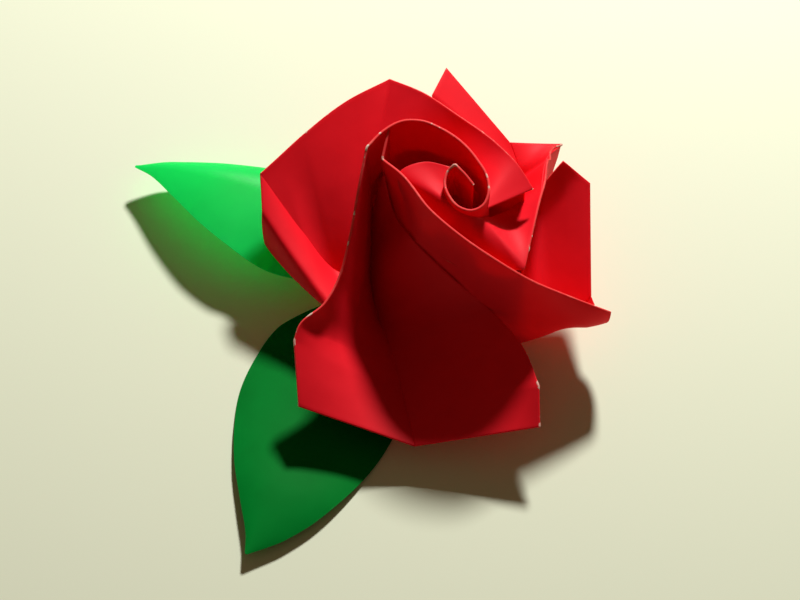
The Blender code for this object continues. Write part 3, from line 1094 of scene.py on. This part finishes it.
@dataclass
class PaperLeaf:
    """A green leaf, cut by hand and curled along a spine that is straight when seen from above."""

    node: str
    tip: tuple[float, float]
    heading: float  # the spine's direction from the tip, in degrees
    heights: Table  # how far along from the tip, and how high
    right: LeafSide
    left: LeafSide
    cut_at: float  # how far from the tip the glued end is
    sheet: float = 0.24
    tip_cut: float = 0.25  # how much the scissors took off the drawn tip
    tightest: float = 0.45  # the smallest radius that this paper curls to
    wander: float = 0.12  # how far the paper lies off a true curl
    wander_mm: float = 14.0  # how long the waves of that are
    step: float = 0.42
    columns: int = 61  # points across, an odd number so that one lies on the spine
    seed: int = 3
    finish: PaperFinish = GREEN_PAPER

    def guide(self) -> bpy.types.Mesh:
        """Lays out the spine from the tip to the glued end, with each side's width and turn.

        Returns:
            The guide line.
        """
        angle = math.radians(self.heading)
        count = math.ceil((self.cut_at - self.tip_cut) / self.step)
        runs = np.linspace(self.tip_cut, self.cut_at, count)
        spine = [
            (
                self.tip[0] + run * math.cos(angle),
                self.tip[1] + run * math.sin(angle),
                smooth_table(self.heights, run),
            )
            for run in runs
        ]
        right = np.array([self.right.at(run) for run in runs])
        left = np.array([self.left.at(run) for run in runs])
        numbers = {
            "right_half": right[:, 0] * MM, "right_turn": right[:, 1],
            "left_half": left[:, 0] * MM, "left_turn": left[:, 1],
        }
        return guide_line([np.array(spine)], numbers)

    def rule(self, rows: int) -> ShapeRule:
        """Builds the tree that bends a flat grid along the spine and gives it its thickness.

        Args:
            rows: How many points the guide has.

        Returns:
            The rule.
        """
        made = ShapeRule("curled_leaf", {
            "Rows": rows, "Columns": self.columns, "Heading": math.radians(self.heading),
            "Thickness": self.sheet * MM, "Tightest": self.tightest * MM, "Wander": self.wander * MM,
            "Seed": self.seed, "Material": self.finish.material(),
        })
        tree, source, calc = made.tree, made.source, made.calc
        flat = add_node(
            tree, "GeometryNodeMeshGrid", Vertices_X=source["Rows"], Vertices_Y=source["Columns"]
        ).outputs["Mesh"]
        index = add_node(tree, "GeometryNodeInputIndex").outputs[0]
        row = calc("FLOOR", calc("DIVIDE", calc("ADD", index, 0.5), source["Columns"]))
        column = calc("SUBTRACT", index, calc("MULTIPLY", row, source["Columns"]))
        last = calc("SUBTRACT", source["Columns"], 1.0)
        side = calc("SUBTRACT", calc("DIVIDE", calc("MULTIPLY", column, 2.0), last), 1.0)
        share, is_left = calc("ABSOLUTE", side), calc("GREATER_THAN", side, 0.0)
        half = self._of_side(made, "half", row, is_left)
        flattest = 0.001  # in radians, so that the radius stays a number
        turn = calc("MAXIMUM", self._of_side(made, "turn", row, is_left), flattest)
        turn = calc("MINIMUM", turn, calc("DIVIDE", half, source["Tightest"]))
        radius, angle = calc("DIVIDE", half, turn), calc("MULTIPLY", turn, share)
        out = calc("MULTIPLY", calc("MULTIPLY", radius, calc("SINE", angle)), calc("SIGN", side))
        drop = calc("MULTIPLY", radius, calc("SUBTRACT", 1.0, calc("COSINE", angle)))
        spine = add_node(
            tree, "GeometryNodeSampleIndex", {"data_type": "FLOAT_VECTOR"}, Geometry=source["Guide"],
            Value=add_node(tree, "GeometryNodeInputPosition").outputs[0], Index=row,
        )
        place = add_node(tree, "ShaderNodeSeparateXYZ", Vector=spine.outputs[0]).outputs
        flat_place = add_node(tree, "ShaderNodeCombineXYZ", X=place[0], Y=calc("ADD", place[1], out))
        pattern = add_node(
            tree, "ShaderNodeTexNoise", {"noise_dimensions": "4D"}, W=source["Seed"],
            Scale=1 / (self.wander_mm * MM), Vector=flat_place.outputs[0],
        )
        lift = calc("MULTIPLY", calc("SUBTRACT", pattern.outputs["Fac"], 0.5), source["Wander"])
        height = calc("ADD", calc("SUBTRACT", place[2], drop), lift)
        bent = add_node(
            tree, "ShaderNodeCombineXYZ",
            X=calc("SUBTRACT", place[0], calc("MULTIPLY", out, calc("SINE", source["Heading"]))),
            Y=calc("ADD", place[1], calc("MULTIPLY", out, calc("COSINE", source["Heading"]))),
            Z=calc("MAXIMUM", height, calc("DIVIDE", source["Thickness"], 2.0)),
        )
        sheet = add_node(tree, "GeometryNodeSetPosition", Geometry=flat, Position=bent.outputs[0]).outputs[0]
        from_edge = calc("DIVIDE", calc("MULTIPLY", calc("SUBTRACT", 1.0, share), half), MM)
        marked = add_node(
            tree, "GeometryNodeStoreNamedAttribute", {"data_type": "FLOAT", "domain": "POINT"},
            Geometry=sheet, Name=EDGE, Value=from_edge,
        )
        made.finish(self._thicken(made, marked.outputs[0]))
        return made

    def _of_side(self, made: ShapeRule, name: str, row: Socket, is_left: Socket) -> Socket:
        """Reads a number of the guide for the side that a point lies on.

        Args:
            made: The rule.
            name: The number's name after the side's.
            row: The point's place along the guide.
            is_left: Whether it lies to the left.

        Returns:
            The number.
        """
        right, left = (
            add_node(
                made.tree, "GeometryNodeSampleIndex", {"data_type": "FLOAT"}, Geometry=made.source["Guide"],
                Value=made.read(f"{which}_{name}"), Index=row,
            ).outputs[0]
            for which in ("right", "left")
        )
        return made.calc("MULTIPLY_ADD", made.calc("SUBTRACT", left, right), is_left, right)

    def _thicken(self, made: ShapeRule, sheet: Socket) -> Socket:
        """Gives the bent sheet its thickness, half to each side, with clean cut edges.

        Args:
            made: The rule.
            sheet: The middle surface.

        Returns:
            The closed sheet.
        """
        tree, thickness = made.tree, made.source["Thickness"]
        normal = add_node(tree, "GeometryNodeInputNormal").outputs[0]
        down = add_node(
            tree, "ShaderNodeVectorMath", {"operation": "SCALE"}, _0=normal,
            Scale=made.calc("MULTIPLY", thickness, -0.5),
        )
        low = add_node(tree, "GeometryNodeSetPosition", Geometry=sheet, Offset=down.outputs[0]).outputs[0]
        top = add_node(
            tree, "GeometryNodeExtrudeMesh", {"mode": "FACES"}, Mesh=low, Offset_Scale=thickness,
            Individual=False,
        )
        bottom = add_node(tree, "GeometryNodeFlipFaces", Mesh=low)
        both = add_node(tree, "GeometryNodeJoinGeometry")
        tree.links.new(top.outputs[0], both.inputs[0])
        tree.links.new(bottom.outputs[0], both.inputs[0])
        closed = add_node(
            tree, "GeometryNodeMergeByDistance", Geometry=both.outputs[0], Distance=0.002 * MM
        )
        smooth = add_node(tree, "GeometryNodeSetShadeSmooth", Geometry=closed.outputs[0])
        bend = add_node(tree, "GeometryNodeInputMeshEdgeAngle").outputs[0]
        sharpest = 0.7  # in radians, above which an edge is one of the cut ones
        cut_edge = made.calc("GREATER_THAN", bend, sharpest)
        crisp = add_node(
            tree, "GeometryNodeSetShadeSmooth", {"domain": "EDGE"}, Geometry=smooth.outputs[0],
            Selection=cut_edge, Shade_Smooth=False,
        )
        return crisp.outputs[0]

    def build(self) -> bpy.types.Object:
        """Builds the leaf.

        Returns:
            The piece.
        """
        guide = self.guide()
        piece = self.rule(len(guide.vertices)).run(guide, self.node + "_paper")
        settle(piece, self.node)
        return piece


LEFT_LEAF = PaperLeaf(
    "leaf_left", tip=(-51.6, 22.9), heading=-18.0,
    heights=((0, 4.0), (6, 6.2), (13, 7.5), (24, 7.5), (31, 6.9), (37, 6.3)),
    right=LeafSide(STRAIGHT_SIDE, ((0, 8), (20, 8), (28, 18), (37, 0))),
    left=LeafSide(FULL_SIDE, ((0, 120), (8, 130), (14, 110), (20, 95), (28, 76), (37, 0))),
    cut_at=37.0,
)
FRONT_LEAF = PaperLeaf(
    "leaf_front", tip=(-31.5, -47.3), heading=67.5,
    heights=(
        (0, 1.8), (6, 2.3), (12, 2.4), (18, 1.9), (26, 1.2), (34, 0.7), (41, 0.3), (44, 0.12), (47, 0.12),
    ),
    right=LeafSide(FULL_SIDE, ((0, 20), (20, 12), (47, 0))),
    left=LeafSide(STRAIGHT_SIDE, ((0, 25), (20, 12), (47, 0))),
    cut_at=47.0,
    # A darker copy of the green paper: painted shade on this leaf
    finish=PAINTED_SHADE_GREEN_PAPER,
)


@dataclass(frozen=True)
class Studio:
    """A pale table under soft light, seen from the photograph's place."""

    target: Point = (-7.36, -6.14, 10.0)
    distance: float = 500.0
    elevation: float = 60.0
    focal_length: float = 140.6
    sensor: float = 36.0
    lamp_at: Point = (88.0, 391.0, 315.0)
    lamp_width: float = 60.0
    lamp_power: float = 4.0  # watts
    fill_strength: float = 0.092
    table_reach: float = 1500.0
    table_colour: str = "E4E8CC"
    table_roughness: float = 0.85
    fill_colour: str = "FFDAAA"
    sky_colour: str = "F6F6F0"

    def build(self) -> None:
        """Places the table, the lights and the camera."""
        self._table()
        self._lights()
        self._camera()

    def _table(self) -> None:
        """Lays a plain pale sheet under the flower."""
        mesh = bpy.data.meshes.new("table")
        far = self.table_reach * MM
        corners = [(-far, -far, 0), (far, -far, 0), (far, far, 0), (-far, far, 0)]
        mesh.from_pydata(corners, [], [(0, 1, 2, 3)])
        table = bpy.data.objects.new("table", mesh)
        bpy.context.scene.collection.objects.link(table)
        paper = bpy.data.materials.new("matt_card")
        paper.use_nodes = True
        shader = paper.node_tree.nodes["Principled BSDF"]
        shader.inputs["Base Color"].default_value = linear(self.table_colour)
        shader.inputs["Roughness"].default_value = self.table_roughness
        mesh.materials.append(paper)

    def _lights(self) -> None:
        """Adds one lamp from behind, as a desk lamp stands, and an even fill all round."""
        lamp = bpy.data.lights.new("desk_lamp", "AREA")
        lamp.shape = "DISK"
        lamp.size = self.lamp_width * MM
        lamp.energy = self.lamp_power
        key = bpy.data.objects.new("desk_lamp", lamp)
        key.location = Vector(self.lamp_at) * MM
        key.rotation_euler = Vector(self.lamp_at).to_track_quat("Z", "Y").to_euler()
        bpy.context.scene.collection.objects.link(key)
        world = bpy.data.worlds.new("studio")
        world.use_nodes = True
        tree = world.node_tree
        tree.nodes.clear()
        path = add_node(tree, "ShaderNodeLightPath")
        fill = add_node(
            tree, "ShaderNodeBackground", Color=linear(self.fill_colour), Strength=self.fill_strength
        )
        seen = add_node(tree, "ShaderNodeBackground", Color=linear(self.sky_colour), Strength=1.0)
        both = add_node(
            tree, "ShaderNodeMixShader", Fac=path.outputs["Is Camera Ray"], _1=fill.outputs[0],
            _2=seen.outputs[0],
        )
        add_node(tree, "ShaderNodeOutputWorld", Surface=both.outputs[0])
        bpy.context.scene.world = world

    def _camera(self) -> None:
        """Sets up the camera."""
        up = math.radians(self.elevation)
        back = Vector((0, -math.cos(up), math.sin(up)))
        data = bpy.data.cameras.new("camera")
        data.lens = self.focal_length
        data.sensor_width = self.sensor
        data.clip_start = 0.01
        camera = bpy.data.objects.new("camera", data)
        camera.location = (Vector(self.target) + back * self.distance) * MM
        camera.rotation_euler = back.to_track_quat("Z", "Y").to_euler()
        bpy.context.scene.collection.objects.link(camera)
        bpy.context.scene.camera = camera


def main() -> None:
    """Builds the flower, then the studio, and reports each piece."""
    logging.basicConfig(level=logging.INFO, format="%(name)s: %(message)s")
    for piece in (*PaperRose().build(), LEFT_LEAF.build(), FRONT_LEAF.build()):
        piece.data.calc_loop_triangles()
        LOG.info("%s: %d triangles", piece.name, len(piece.data.loop_triangles))
    Studio().build()
    bpy.context.scene.view_settings.view_transform = "Standard"


if __name__ == "__main__":
    main()
